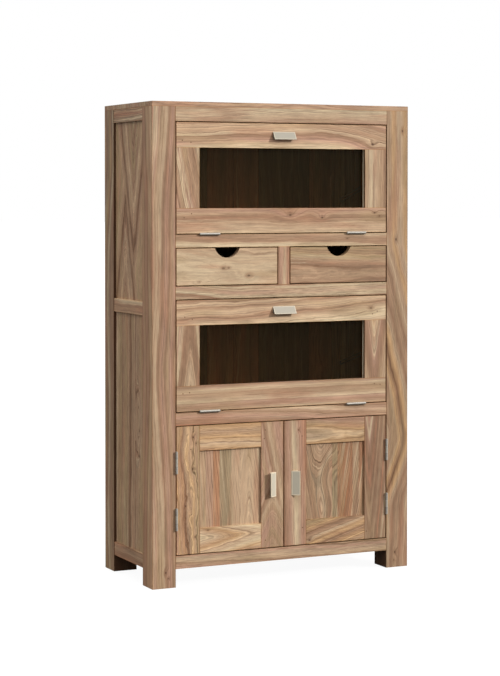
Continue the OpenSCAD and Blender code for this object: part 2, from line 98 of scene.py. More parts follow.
# Broad rings: how much they wander in and out of a band, and where in their noise each kind starts
# and is full, how strong it is, and its tone
BAND_DRIFT = 0.5
BROAD_RINGS = (
    (0.50, 0.28, 0.6, "brown"),
    (0.52, 0.75, 0.5, "cream"),
    (0.43, 0.40, 0.3, "brown"),
    (0.60, 0.63, 0.3, "cream"),
)
# Patches of another hue, in the same terms
HUES = ((0.04, 0.2, 0.45, "red"), (-0.04, -0.2, 0.45, "olive"))
# Marks: where in their noise they start and are full
MARKS = {
    "dark": (0.56, 0.70),
    "line": (-0.18, 0.06),
    "crease": (0.07, 0.18),
    "pore": (0.16, 0.25),
    "knot": (-0.15, 0.1),
}
# How strongly blotches, streaks, flecks and single rings change the brightness, and creases and
# pores darken it
BLOTCH, STREAK, WISP, SINGLE = 0.55, 0.6, 0.7, 0.95
CREASE, PORE = 0.35, 0.5
# Fibres: from where to where in their noise, and how bright and how rough they are there
FIBRE_SHADE = (-0.25, 0.25, 0.94, 1.09)
FIBRE_ROUGHNESS = (-0.3, 0.3, 0.46, 0.60)
WOOD_SHINE = 0.2
# Relief: how far fibres stand up and dark rings lie back, in depths of a pore, and that depth
FIBRE_HEIGHT, RING_HEIGHT = 0.4, -0.5
PORE_DEPTH = 0.12 * MM

# How much of a board's sway its longest and its shortest waves take
LONG_SWAY, SHORT_SWAY = 3, 0.3
# How far under the face the pith lies at the tip of an arch, and over what width two arches run
# into each other, in millimetres
CONE_TIP = 8
CONE_BLEND = 12
# A knot, in shares of its radius: how far off the rings bend round it and by how much, and where
# its core and its halo fade
KNOT_BEND = (5, 2.2)
KNOT_CORE = (0.4, 1.2)
KNOT_HALO = (0.8, 4)
# How much distances along the grain count, and how dark a knot's core and its halo are
KNOT_LENGTH = 0.6
CORE = (0.5, 0.95)
HALO = 0.35

# Strips of a glued board: the step between their numbers, how far a number shifts the noise and
# the rings, and the share of the strip's own tone
STRIP_STEP = 0.37
STRIP_SHIFT = (9100, 4300, 6700)
STRIP_RINGS = 50.0
STRIP_TONE = 0.65
# How far a board's noise lies from the next seed's, in millimetres
SEED_SHIFT = (1700, 900, 1300)

# How painted shade darkens a board's upright edges, its level ones and those from front to back,
# the tone of a painted pale highlight on a narrow side and the tint of painted shade there
EDGE_SHADES = ((0, 1, (0.62, 0.48, 0.34)), (2, 1, (0.92, 0.80, 0.64)), (0, 2, (0.92, 0.80, 0.64)))
HIGHLIGHT_TONE = (1.0, 0.86, 0.64)
SIDE_SHADE_TINT = (0.3, 0.24, 0.2)
# Millimetres over which painted shade on edges, a narrow side and its painted pale highlight fade
EDGE_SHADE_FADE = (0.2, 2.0)
SIDE_FADE = (0.1, 0.6)
HIGHLIGHT_FADE = 0.5


def linear(rgb):
    """An sRGB colour of three whole numbers as the linear colour that shaders use."""
    shares = [c / 255 for c in rgb]
    return tuple(c / 12.92 if c <= 0.04045 else ((c + 0.055) / 1.055) ** 2.4 for c in shares)


class Shader:
    """The nodes of a material or a world, made and joined by calls that read like a formula."""

    def __init__(self, name, kind="materials", output="ShaderNodeOutputMaterial"):
        self.owner = getattr(bpy.data, kind).new(name)
        self.owner.use_nodes = True
        self.tree = self.owner.node_tree
        self.tree.nodes.clear()
        self.output = self.tree.nodes.new(output)

    def put(self, socket, value):
        if isinstance(value, bpy.types.NodeSocket):
            self.tree.links.new(value, socket)
        elif socket.type == "RGBA" and len(value) == 3:
            socket.default_value = (*value, 1)
        else:
            socket.default_value = value

    def node(self, kind, inputs, **settings):
        made = self.tree.nodes.new(kind)
        for key, value in settings.items():
            setattr(made, key, value)
        for key, value in inputs.items():
            self.put(made.inputs[key], value)
        return made

    def math(self, operation, *values):
        return self.node("ShaderNodeMath", dict(enumerate(values)), operation=operation).outputs[0]

    def vector(self, operation, *values):
        made = self.node("ShaderNodeVectorMath", dict(enumerate(values)), operation=operation)
        return made.outputs["Value" if operation == "LENGTH" else "Vector"]

    def minus(self, one, other):
        return self.math("SUBTRACT", one, other)

    def times(self, one, other):
        return self.math("MULTIPLY", one, other)

    def plus(self, value, mark, strength):
        return self.math("MULTIPLY_ADD", mark, strength, value)

    def spread(self, value, low, high, start=0.0, end=1.0, smooth=True):
        """value's way from low to high, as a number from start to end."""
        kind = "SMOOTHSTEP" if smooth else "LINEAR"
        inputs = {0: value, 1: low, 2: high, 3: start, 4: end}
        return self.node("ShaderNodeMapRange", inputs, interpolation_type=kind).outputs[0]

    def between(self, noise, start, end):
        """The range that most of a noise lies in, as a number from start to end."""
        return self.spread(noise, 0.3, 0.7, start, end, False)

    def place(self):
        return self.node("ShaderNodeTexCoord", {}).outputs["Object"]

    def noise(self, place, detail=2.0):
        inputs = {"Vector": place, "Scale": 1.0, "Detail": detail}
        return self.node("ShaderNodeTexNoise", inputs).outputs[0]

    def cloud(self, per_metre, detail=2.0):
        """Noise with that many patches to the metre, alike along all axes."""
        return self.noise(self.vector("MULTIPLY", self.place(), (per_metre,) * 3), detail)

    def noise_along(self, distance, detail, roughness):
        inputs = {"W": distance, "Scale": 1.0, "Detail": detail, "Roughness": roughness}
        return self.node("ShaderNodeTexNoise", inputs, noise_dimensions="1D").outputs[0]

    def mix(self, share, one, other, blend="MIX"):
        made = self.node("ShaderNodeMix", {0: share, 6: one, 7: other}, data_type="RGBA")
        made.blend_type = blend
        return made.outputs[2]

    def tinted(self, colour, tint):
        return self.mix(1.0, colour, tint, "MULTIPLY")

    def toward(self, tone, colour, share):
        """colour, moved by a share of the way to one of the wood's tones."""
        return self.mix(share, colour, linear(TONES[tone]))

    def grey(self, value):
        return self.node("ShaderNodeCombineColor", dict.fromkeys(range(3), value)).outputs[0]

    def ramp(self, value, stops, interpolation):
        made = self.node("ShaderNodeValToRGB", {0: value})
        made.color_ramp.interpolation = interpolation
        points = made.color_ramp.elements
        while len(points) < len(stops):
            points.new(1.0)
        for point, (place, colour) in zip(points, stops):
            point.position = place
            point.color = (*colour, 1)
        return made.outputs[0]

    def bump(self, height, distance):
        return self.node("ShaderNodeBump", {"Height": height, "Distance": distance}).outputs[0]

    def layered(self, share, one, other):
        """Two shader nodes, the second showing by a share."""
        inputs = {0: share, 1: one.outputs[0], 2: other.outputs[0]}
        return self.node("ShaderNodeMixShader", inputs)

    def camera_sees(self):
        return self.node("ShaderNodeLightPath", {}).outputs["Is Camera Ray"]

    def ends_in(self, made):
        self.tree.links.new(made.outputs[0], self.output.inputs[0])
        return self.owner

    def surface(self, **inputs):
        named = {key.replace("_", " "): value for key, value in inputs.items()}
        return self.ends_in(self.node("ShaderNodeBsdfPrincipled", named))


class Board:
    """One solid piece of wood: where it lies, which way its grain runs, and how it was sawn."""

    def __init__(self, low, high, face):
        self.low, self.high = low, high
        size = [high[i] - low[i] for i in range(3)]
        self.depth = "xyz".index(face[1])
        rest = [i for i in range(3) if i != self.depth]
        self.along = max(rest, key=lambda i: size[i])
        self.across = next(i for i in rest if i != self.along)
        self.sign = -1 if face[0] == "+" else 1
        self.width = size[self.across] / MM
        self.length = size[self.along] / MM
        self.thickness = size[self.depth] / MM

    def rings_seen(self, pith):
        """The first and the last ring on the face, for a pith that lies there."""
        nearest = min(max(pith[0], 0), self.width)
        first = math.hypot(nearest - pith[0], pith[1])
        last = max(math.hypot(edge - pith[0], pith[1]) for edge in (0, self.width))
        return first, last


class Wood(Shader):
    """A board's wood, in millimetres along its grain, across it and in from its face."""

    def __init__(self, name, board, seed, staves):
        super().__init__(name)
        self.board = board
        self.seed = seed
        origin = Vector((0, 0, 0))
        origin[board.along] = board.low[board.along]
        origin[board.across] = board.low[board.across]
        origin[board.depth] = (board.low if board.sign > 0 else board.high)[board.depth]
        from_origin = self.vector("SUBTRACT", self.place(), origin)
        parts = self.node("ShaderNodeSeparateXYZ", {0: from_origin}).outputs
        self.along = self.times(parts[board.along], 1 / MM)
        self.across = self.times(parts[board.across], 1 / MM)
        self.depth = self.times(parts[board.depth], board.sign / MM)
        lengths = {0: self.along, 1: self.across, 2: self.depth}
        self.spot = self.node("ShaderNodeCombineXYZ", lengths).outputs[0]
        self.shifted = self.vector("ADD", self.spot, [seed * shift for shift in SEED_SHIFT])
        self.strip = None
        if staves:
            self.glue(staves)

    def glue(self, staves):
        """Give each strip of a glued board a number, a tone and a grain of its own."""
        places = [at / self.board.width for at, _ in staves]
        share = self.math("DIVIDE", self.across, self.board.width)
        numbers = [(at, (STRIP_STEP * i % 1,) * 3) for i, at in enumerate(places)]
        self.strip = self.ramp(share, numbers, "CONSTANT")
        tones = [(at, linear(TONES[tone])) for at, (_, tone) in zip(places, staves)]
        self.strip_tone = self.ramp(share, tones, "CONSTANT")
        apart = self.vector("MULTIPLY", self.strip, STRIP_SHIFT)
        self.shifted = self.vector("ADD", self.shifted, apart)

    def drift(self, patch):
        """Noise about nought, in patches of one kind."""
        length, breadth, detail = PATCHES[patch]
        scaled = self.vector("MULTIPLY", self.shifted, (1 / length, 1 / breadth, 1 / breadth))
        return self.minus(self.noise(scaled, detail), 0.5)

    def mark(self, patch, start=0, end=1):
        """Where a kind of patch shows, as a number from start to end."""
        return self.spread(self.drift(patch), *MARKS[patch], start, end)

    def rings(self, kind, ring):
        """Noise that changes from ring to ring."""
        rate, detail, roughness = RINGS[kind]
        return self.noise_along(self.plus(self.seed, ring, rate), detail, roughness)

    def away(self, at_along, at_across, counted):
        """The distance on the face from a spot, where lengths along the grain are counted less."""
        step = self.vector("SUBTRACT", self.spot, (at_along, at_across, 0))
        return self.vector("LENGTH", self.vector("MULTIPLY", step, (counted, 1.0, 0.0)))

    def from_pith(self, at_across, deep):
        """The distance from a pith that runs along the board."""
        sides = self.minus(self.across, at_across), self.math("ADD", self.depth, deep)
        return self.math("SQRT", self.math("ADD", *(self.times(side, side) for side in sides)))

    def arches(self, cones):
        ring = None
        for at_along, at_across, slope in cones:
            radius = self.from_pith(at_across, CONE_TIP)
            cone = self.plus(radius, self.minus(self.along, at_along), -slope)
            ring = self.math("SMOOTH_MIN", ring, cone, CONE_BLEND) if ring else cone
        return ring

    def wandering(self, ring, course, sway, curl):
        """Rings that follow a course along the board and sway a little about it."""
        if course:
            shifts = [shift for _, shift in course]
            lowest, reach = min(shifts), max(shifts) - min(shifts)
            stops = [(at / self.board.length, ((shift - lowest) / reach,) * 3)
                     for at, shift in course]
            share = self.math("DIVIDE", self.along, self.board.length)
            wander = self.ramp(share, stops, "B_SPLINE")
            ring = self.math("ADD", ring, self.plus(lowest, wander, reach))
        ring = self.plus(ring, self.drift("long sway"), LONG_SWAY * sway)
        ring = self.plus(ring, self.drift("sway"), sway)
        ring = self.plus(ring, self.drift("curl"), SHORT_SWAY * sway + curl)
        return self.plus(ring, self.strip, STRIP_RINGS) if self.strip else ring

    def bent(self, ring, swirls, knots):
        """Rings that bend round swirls and knots."""
        bends = [(*spot, reach, push, 1 / stretch) for *spot, reach, push, stretch in swirls]
        far, push = KNOT_BEND
        bends += [(*spot, far * size, push * size, KNOT_LENGTH) for *spot, size in knots]
        for at_along, at_across, reach, push, counted in bends:
            off = self.away(at_along, at_across, counted)
            ring = self.math("ADD", ring, self.spread(off, 0, reach, push, 0))
        return ring

    def toned(self, ring, names, start, span):
        """The tones, in their order from the ring called start over the span, there and back."""
        share = self.math("DIVIDE", self.minus(ring, start), span)
        last = len(names) - 1
        stops = [(i / last, linear(TONES[tone])) for i, tone in enumerate(names)]
        colour = self.ramp(self.math("PINGPONG", share, 1.0), stops, "LINEAR")
        if self.strip:
            colour = self.mix(STRIP_TONE, colour, self.strip_tone)
        return colour

    def banded(self, colour, ring, bands):
        """Broad rings, paler and darker, and patches of another hue."""
        broad = self.plus(self.rings("broad", ring), self.drift("band"), BAND_DRIFT)
        for low, high, most, tone in BROAD_RINGS:
            colour = self.toward(tone, colour, self.spread(broad, low, high, 0, most * bands))
        hue = self.drift("hue")
        for low, high, most, tone in HUES:
            colour = self.toward(tone, colour, self.spread(hue, low, high, 0, most))
        return colour

    def brightness(self, ring, fibre, dim, figure, fine):
        single = self.minus(self.rings("single", ring), 0.5)
        marks = ((self.drift("blotch"), BLOTCH), (self.drift("streak"), STREAK),
                 (self.drift("wisp"), WISP * fine), (single, SINGLE * figure))
        low, high, dark, pale = FIBRE_SHADE
        tint = self.spread(fibre, low, high, dark * dim, pale * dim, False)
        for mark, strength in marks:
            tint = self.plus(tint, mark, strength * dim)
        return self.grey(tint)

    # Painted shade along the board's edges, deepest on its upright ones, darkens the lines between
    # parts
    def shaded_edges(self, colour):
        board = self.board
        edge = {}
        for axis, way, size in ((board.along, self.along, board.length),
                                (board.across, self.across, board.width),
                                (board.depth, self.depth, board.thickness)):
            edge[axis] = self.math("MINIMUM", way, self.minus(size, way))
        for one, other, tint in EDGE_SHADES:
            inside = self.spread(self.math("MAXIMUM", edge[one], edge[other]), *EDGE_SHADE_FADE)
            colour = self.tinted(colour, self.mix(inside, tint, WHITE))
        return colour

    def narrow_side(self, colour, side, side_shade, highlight_depth):
        """The narrow side at the start of across: tint, painted shade and a painted pale highlight.
        """
        if side:
            inside = self.spread(self.across, *SIDE_FADE)
            colour = self.tinted(colour, self.mix(inside, side, WHITE))
        # Painted shade darkens the narrow side toward umber and by a dark tint
        if side_shade:
            shading = self.spread(self.across, *SIDE_FADE, side_shade, 0)
            # Painted pale highlight on the narrow side from this depth under the face, in place of
            # the shade
            if highlight_depth:
                highlight_band = self.spread(self.depth, highlight_depth, highlight_depth + HIGHLIGHT_FADE)
                pale = self.times(highlight_band, self.spread(self.across, *SIDE_FADE, 1, 0))
                colour = self.mix(pale, colour, HIGHLIGHT_TONE)
                shading = self.times(shading, self.minus(1.0, highlight_band))
            colour = self.toward("umber", colour, shading)
            colour = self.mix(shading, colour, SIDE_SHADE_TINT, "MULTIPLY")
        return colour

    def knotted(self, colour, knots):
        """Knots with ragged dark cores, and the halos round them."""
        core = halo = None
        for at_along, at_across, size in knots:
            off = self.away(at_along, at_across, KNOT_LENGTH)
            dark = self.spread(off, *(share * size for share in KNOT_CORE), 1, 0)
            glow = self.spread(off, *(share * size for share in KNOT_HALO), HALO, 0)
            core = self.math("MAXIMUM", core, dark) if core else dark
            halo = self.math("MAXIMUM", halo, glow) if halo else glow
        colour = self.toward("umber", colour, halo)
        return self.toward("knot", colour, self.times(core, self.mark("knot", *CORE)))


def wood(name, board, tones, seed, pith, taper, sway=8, curl=2.0, lines=0.6, figure=1.0, first=0,
         span=None, staves=(), knots=(), swirls=(), cones=(), course=(), side_shade=0.0, highlight_depth=0.0,
         side=None, dim=1.0, bands=1.0, fine=0.35):
    """Solid wood: growth rings round a pith that lies beside and behind the board's face.

    Lengths are in millimetres. tones run from the face's edge nearest the pith to the far one, or
    over span from the ring called first. lines, figure, bands and fine are how strongly the dark
    rings, the single ones, the broad ones and the short flecks show; dim is how bright the board
    is. taper makes the rings a cone, for a board sawn off the grain. cones are (along, across,
    slope) of the tips of arches, for one sawn close to its pith; rings inside an arch lie below
    nought. course is (along, shift) of how far the grain wanders across; sway and curl are how
    much it waves. staves are (place across, tone) of strips glued edge to edge, knots are (along,
    across, radius), and swirls are (along, across, reach, push, stretch) of rings that bend round
    something. side is the tint of the narrow side at the start of across; the two before it are
    how much painted shade darkens that side, and the depth under the face from which a painted
    pale highlight shows there instead."""
    s = Wood(name, board, seed, staves)
    ring = s.arches(cones) if cones else s.plus(s.from_pith(*pith), s.along, taper)
    ring = s.wandering(ring, course, sway, curl)
    ring = s.bent(ring, swirls, knots)
    start, end = board.rings_seen(pith)
    if cones:
        start = 0
    colour = s.toned(ring, tones.split(), start + first, span or end - start)
    colour = s.banded(colour, ring, bands)
    row = s.times(s.spread(s.rings("dark", ring), *MARKS["dark"]), s.mark("line"))
    colour = s.toward("umber", colour, s.times(row, lines))
    fibre = s.drift("fibre")
    colour = s.tinted(colour, s.brightness(ring, fibre, dim, figure, fine))
    colour = s.toward("umber", colour, s.mark("crease", 0, CREASE * fine))
    colour = s.shaded_edges(colour)
    colour = s.narrow_side(colour, side, side_shade, highlight_depth)
    pore = s.mark("pore")
    colour = s.toward("umber", colour, s.times(pore, PORE))
    if knots:
        colour = s.knotted(colour, knots)
    height = s.minus(s.times(fibre, FIBRE_HEIGHT), pore)
    return s.surface(
        Base_Color=colour,
        Roughness=s.spread(fibre, *FIBRE_ROUGHNESS, False),
        Specular_IOR_Level=WOOD_SHINE,
        Normal=s.bump(s.plus(height, row, RING_HEIGHT), PORE_DEPTH),
    )


# Brush marks on steel: to the metre along the brush's way and across it, how bright they are, how
# much they roughen it, and how deep they are
BRUSH_ALONG, BRUSH_ACROSS = 90.0, 9000.0
BRUSH_SHADE = (0.88, 1.0)
BRUSH_ROUGHNESS = 0.1
BRUSH_DEPTH = 0.02 * MM
# Worn patches on it: to the metre, and how much they roughen it
WORN, WORN_ROUGHNESS = 60, 0.12
# Painted highlight on a plate's rim: millimetres over which it fades, its tint, and that of the
# rest
RIM_FADE = (1.5, 4)
RIM_HIGHLIGHT_TINT = (1.3, 1.22, 1.12)
FIELD_TINT = (0.92, 0.90, 0.87)


def rim_highlight(s, tone, box):
    """A plate's tone, with a painted highlight along its edges as seen from the front."""
    low, high = box
    parts = s.node("ShaderNodeSeparateXYZ", {0: s.place()}).outputs
    away = None
    for axis in (0, 2):
        nearest = s.math("MINIMUM", s.minus(parts[axis], low[axis]),
                         s.minus(high[axis], parts[axis]))
        away = s.math("MINIMUM", away, nearest) if away else nearest
    edge = s.spread(away, *(fade * MM for fade in RIM_FADE), 1, 0)
    return s.mix(edge, s.tinted(tone, FIELD_TINT), s.tinted(tone, RIM_HIGHLIGHT_TINT))


def metal(name, colour, along, roughness, metallic=0.55, box=None):
    """Brushed satin steel, marked along one axis; box is a plate's, with a painted rim highlight.
    """
    s = Shader(name)
    stretch = [BRUSH_ACROSS] * 3
    stretch["xyz".index(along)] = BRUSH_ALONG
    marks = s.noise(s.vector("MULTIPLY", s.place(), stretch))
    worn = s.plus(roughness - WORN_ROUGHNESS / 2, s.cloud(WORN), WORN_ROUGHNESS)
    tone = linear(colour)
    if box:
        tone = rim_highlight(s, tone, box)
    return s.surface(
        Base_Color=s.tinted(tone, s.grey(s.between(marks, *BRUSH_SHADE))),
        Metallic=metallic,
        Roughness=s.plus(worn, marks, BRUSH_ROUGHNESS),
        Normal=s.bump(marks, BRUSH_DEPTH),
    )


def plastic(name, colour):
    """Moulded plastic with a fine grain."""
    s = Shader(name)
    worn = s.cloud(70, 3)
    return s.surface(
        Base_Color=s.tinted(linear(colour), s.grey(s.between(worn, 0.85, 1.1))),
        Roughness=s.between(worn, 0.4, 0.55),
        Normal=s.bump(s.cloud(2200), 0.05 * MM),
    )


def glass(name, tint, film, glare, dust):
    """Smoked pane: it darkens what lies behind, has a film of dust, and mirrors at a slant."""
    s = Shader(name)
    blur = s.between(s.cloud(9, 3), 0.01, 0.05)
    mirror = s.node("ShaderNodeBsdfGlossy", {"Color": linear(glare), "Roughness": blur})
    through = s.node("ShaderNodeBsdfTransparent", {"Color": tint})
    haze = s.node("ShaderNodeBsdfDiffuse", {"Color": linear(film)})
    slant = s.node("ShaderNodeFresnel", {"IOR": 1.45}).outputs[0]
    return s.ends_in(s.layered(slant, s.layered(dust, through, haze), mirror))


def pin_wood():
    """The dark wood of the joint pins and of the tongues between the back boards."""
    s = Shader("joint_pin_wood")
    grain = s.cloud(1400)
    return s.surface(
        Base_Color=s.mix(s.spread(grain, 0.35, 0.65), linear((84, 56, 38)), linear((116, 82, 58))),
        Roughness=s.between(grain, 0.5, 0.65),
        Specular_IOR_Level=WOOD_SHINE,
        Normal=s.bump(grain, 0.05 * MM),
    )


# Vertices that round to the same multiples of this belong to one solid
WELD = 0.02 * MM


def solids(node):
    """The box and the faces of each separate solid of a CAD node, lowest first, then leftmost."""
    mesh = NODES[node].data
    spots, parent, owner = {}, [], []
    for vertex in mesh.vertices:
        key = tuple(round(c / WELD) for c in vertex.co)
        if key not in spots:
            spots[key] = len(parent)
            parent.append(len(parent))
        owner.append(spots[key])

    def root(i):
        while parent[i] != i:
            parent[i] = parent[parent[i]]
            i = parent[i]
        return i

    for face in mesh.polygons:
        first = root(owner[face.vertices[0]])
        for vertex in face.vertices:
            parent[root(owner[vertex])] = first
    groups = {}
    for face in mesh.polygons:
        groups.setdefault(root(owner[face.vertices[0]]), []).append(face.index)
    found = []
    for faces in groups.values():
        corners = [mesh.vertices[v].co for f in faces for v in mesh.polygons[f].vertices]
        low = Vector([min(c[i] for c in corners) for i in range(3)])
        high = Vector([max(c[i] for c in corners) for i in range(3)])
        found.append((low, high, faces))
    return sorted(found, key=lambda box: [round(box[0][i] + box[1][i], 3) for i in (2, 0, 1)])


# Tones of the boards that the photograph doesn't show, in turn from a place drawn for each
PLAIN_TONES = "tan sand rose tan cream brown tan olive sand rose".split()
PLAIN_COUNT = 5

# Boards that the photograph shows, by node and number, which counts from below and the left
SHOWN = {
    "post_front_left_0": dict(
        tones="rose tan rose tan sand sand brown rose brown tan rose brown tan", pith=(-300, 300),
        taper=0, span=92,
        course=[(0, 7), (100, 9), (300, 13), (500, 24), (680, 35), (800, 24), (1000, 16),
                (1170, 20), (1300, 9), (1485, 0)], sway=4, knots=[(48, 45, 3), (30, 52, 2)],
        figure=0.7, lines=0.4, fine=0.45, dim=0.88, side=(1.2, 1.15, 1.08), seed=3),
    # Painted shade darkens its inner side face
    "post_front_right_0": dict(
        tones="tan brown tan brown gold umber gold tan brown tan brown sand tan gold tan sand "
              "gold tan", pith=(-300, 300), taper=0, first=-14, span=185,
        course=[(0, 66), (200, 59), (270, 41), (390, -11), (470, -11), (740, 41), (940, 88),
                (1050, 110), (1485, 110)],
        knots=[(1068, 35, 3.5), (49, 32, 3), (23, 28, 2.5), (1420, 58, 3)], bands=0.5, figure=0.6,
        lines=0.3, fine=0.45, dim=0.83, side_shade=0.6, seed=7),
    # Painted shade darkens its face towards the front, beside the side panels and on its foot
    "post_back_left_0": dict(
        tones="gold brown tan brown tan sand brown gold olive tan brown gold", pith=(-300, 300),
        taper=0, span=96,
        course=[(0, 15), (250, 0), (500, 18), (760, 4), (950, 0), (1150, 18), (1300, 48),
                (1485, 37)], sway=9, figure=1.4, dim=0.8, side_shade=0.75, seed=5),
    "top_board_0": dict(
        tones="rose olive tan brown tan sand rose tan",
        staves=[(0, "tan"), (92, "rose"), (171, "sand"), (262, "tan"), (334, "brown")], seed=11),
    "top_rail_0": dict(
        tones="rose sand cream tan", span=60, course=[(0, 28), (350, 0), (500, 5), (744, 0)],
        bands=0.6, figure=0.8, fine=0.7, dim=0.87, seed=13),
    "middle_rails_0": dict(
        tones="red brown rose tan", course=[(0, 0), (300, 4), (744, 30)], dim=1.01, seed=17),
    "middle_rails_1": dict(
        tones="cream sand brown cream sand rose",
        course=[(0, 0), (80, 4), (190, 24), (400, 22), (744, 14)], bands=0.7, fine=0.9, dim=0.89,
        seed=19),
    "middle_rails_2": dict(
        tones="sand cream sand tan sand", taper=0.02, knots=[(599, 23, 2)], figure=0.6, lines=0.3,
        fine=0.45, seed=23),
    "bottom_rail_0": dict(tones="rose tan sand rose", taper=0.02, fine=0.9, dim=0.87, seed=29),
    "drawer_divider_0": dict(tones="brown rose tan rose", fine=0.8, seed=31),
    "left_drawer_front_0": dict(
        tones="cream sand sand tan sand", pith=(40, 120), taper=0.03, span=25,
        knots=[(159, 51, 3.5), (177, 52, 2.5), (246, 27, 3.2), (77, 10, 1.5)], bands=0.8,
        figure=0.5, lines=0.3, dim=0.96, seed=37),
    "right_drawer_front_0": dict(
        tones="sand tan brown tan olive tan", pith=(30, 60), taper=0.04, span=40, curl=3, bands=0.8,
        figure=0.9, dim=0.93, seed=41),
    "upper_flap_rails_1": dict(
        tones="cream cream sand rose brown sand tan",
        course=[(0, 26), (250, 10), (480, 0), (600, 8), (738, 40)], knots=[(689, 16, 4)], bands=0.6,
        dim=1.11, seed=43),
    "upper_flap_rails_0": dict(
        tones="cream sand sand tan brown tan rose",
        course=[(0, 8), (280, 0), (374, 14), (450, 0), (738, 8)], sway=6,
        swirls=[(392, 62, 34, 16, 2.0), (505, 50, 26, 11, 1.8)],
        knots=[(392, 56, 3.5), (505, 47, 3), (696, 62, 2.5), (714, 52, 2.5)], bands=0.7, figure=0.7,
        lines=0.4, fine=0.5, seed=47),
    "upper_flap_stiles_0": dict(
        tones="tan rose tan brown cream", taper=0.18, first=20, span=80, fine=0.8, seed=53),
    # Painted shade darkens its inner side by the pane, with a painted pale highlight deeper in
    "upper_flap_stiles_1": dict(
        tones="tan sand sand tan brown", dim=0.9, side_shade=0.7, highlight_depth=9, seed=59),
    "lower_flap_rails_1": dict(
        tones="cream cream sand brown sand tan",
        course=[(0, 24), (200, 18), (420, 4), (500, 10), (738, -8)], sway=9, knots=[(683, 38, 3)],
        bands=0.6, dim=1.04, seed=61),
    "lower_flap_rails_0": dict(
        tones="tan rose sand tan sand rose", sway=4, figure=0.7, lines=0.4, dim=0.95, seed=67),
    "lower_flap_stiles_0": dict(
        tones="tan sand tan brown tan rose tan", cones=[(130, 46, -0.12)], first=-14, span=62,
        sway=5, figure=0.7, lines=0.4, fine=0.8, dim=0.88, seed=71),
    # Painted shade darkens its inner side by the pane, with a painted pale highlight deeper in
    "lower_flap_stiles_1": dict(
        tones="gold tan rose brown tan sand", cones=[(6, 36, 0.14)], first=-24, span=64, sway=4,
        figure=0.8, lines=0.4, dim=0.9, side_shade=0.7, highlight_depth=9, seed=73),
    "left_door_stiles_0": dict(
        tones="rose gold tan gold brown tan gold tan olive tan", pith=(-60, 60), taper=0.03,
        curl=11, swirls=[(300, 20, 40, 9, 2.5), (190, 66, 40, -9, 3.0), (90, 30, 40, 9, 2.5)],
        knots=[(362, 56, 2.5), (264, 54, 3), (343, 66, 2), (150, 30, 2.5), (52, 62, 2)], bands=0.3,
        figure=1.7, lines=0.9, fine=0.9, dim=0.94, seed=79),
    "left_door_stiles_1": dict(
        tones="rose tan rose rose tan sand brown rose tan rose",
        cones=[(157, 39, -0.45), (100, 92, 0.2)], first=-50, span=110, sway=6, curl=5,
        knots=[(440, 14, 2)], bands=0.5, figure=0.5, lines=0.2, fine=0.7, dim=0.88, seed=83),
    "left_door_rails_1": dict(
        tones="gold sand gold tan gold", curl=6, bands=0.4, figure=1.3, lines=0.5, fine=0.6,
        seed=89),
    "left_door_rails_0": dict(
        tones="cream sand gold sand cream gold sand", cones=[(188, 48, -0.2)], first=-30, span=80,
        sway=6, curl=4, knots=[(28, 70, 2)], bands=0.7, figure=0.9, lines=0.4, fine=0.7, dim=1.02,
        seed=97),
    "left_door_panel_0": dict(
        tones="sand tan sand brown sand tan",
        staves=[(0, "tan"), (30, "rose"), (55, "rust"), (77, "moss"), (118, "sand")],
        cones=[(245, 180, -0.12), (30, 150, 0.1)], first=-40, span=150, sway=6, bands=0.6,
        figure=1.2, dim=0.95, seed=101),
    "right_door_stiles_0": dict(
        tones="brown rose cream rose red", knots=[(366, 52, 2)], fine=0.45, dim=0.9, seed=103),
    "right_door_stiles_1": dict(
        tones="brown brown rose brown sand brown rose cream rose brown brown red brown brown tan "
              "brown brown", cones=[(230, 18, 0.1)], first=-30, span=62, sway=2, bands=0.3,
        figure=0.5, lines=0.3, fine=0.9, dim=0.78, seed=107),
    "right_door_rails_1": dict(
        tones="sand gold tan rose tan gold sand", pith=(30, 40), taper=0.05, span=60, bands=0.6,
        figure=0.9, lines=0.4, fine=0.7, dim=0.85, seed=109),
    "right_door_rails_0": dict(
        tones="gold tan gold brown gold tan brown gold olive", pith=(-2000, 100), taper=-0.3,
        first=-70, span=130, sway=5, knots=[(12, 12, 3)], bands=0.7, figure=1.5, lines=0.9,
        fine=1.1, dim=0.89, seed=113),
    "right_door_panel_0": dict(
        tones="cream sand sand tan umber olive tan olive tan",
        staves=[(0, "tan"), (104, "moss"), (123, "rust"), (178, "tan"), (200, "rust")],
        cones=[(34, 66, 0.18)], first=-40, span=110, sway=6, swirls=[(150, 84, 60, 34, 2.2)],
        bands=0.8, figure=1.4, lines=0.7, fine=0.6, dim=0.82, seed=127),
    "left_side_panels_0": dict(
        tones="brown tan olive tan brown sand umber tan olive tan olive tan rose",
        pith=(-2000, 100), taper=0.01, span=259, sway=9, curl=7, swirls=[(411, 54, 40, 50, 5.0)],
        knots=[(386, 53, 3), (306, 52, 3)], figure=1.6, lines=0.7, fine=0.9, dim=1.07, seed=137),
    "left_side_panels_1": dict(
        tones="brown olive brown tan tan brown umber tan tan olive tan olive tan tan tan",
        cones=[(226, 101, 0.24), (246, 169, -0.22)], first=-60, span=190, sway=12, curl=9,
        bands=0.5, lines=0.5, fine=0.8, dim=1.2, seed=131),
    "left_side_rails_0": dict(tones="red brown sand tan", figure=1.6, seed=139),
    "left_side_rails_1": dict(tones="tan brown tan", dim=1.2, seed=149),
    "left_side_rails_2": dict(tones="brown cream red tan", taper=0.03, figure=1.5, seed=151),
}

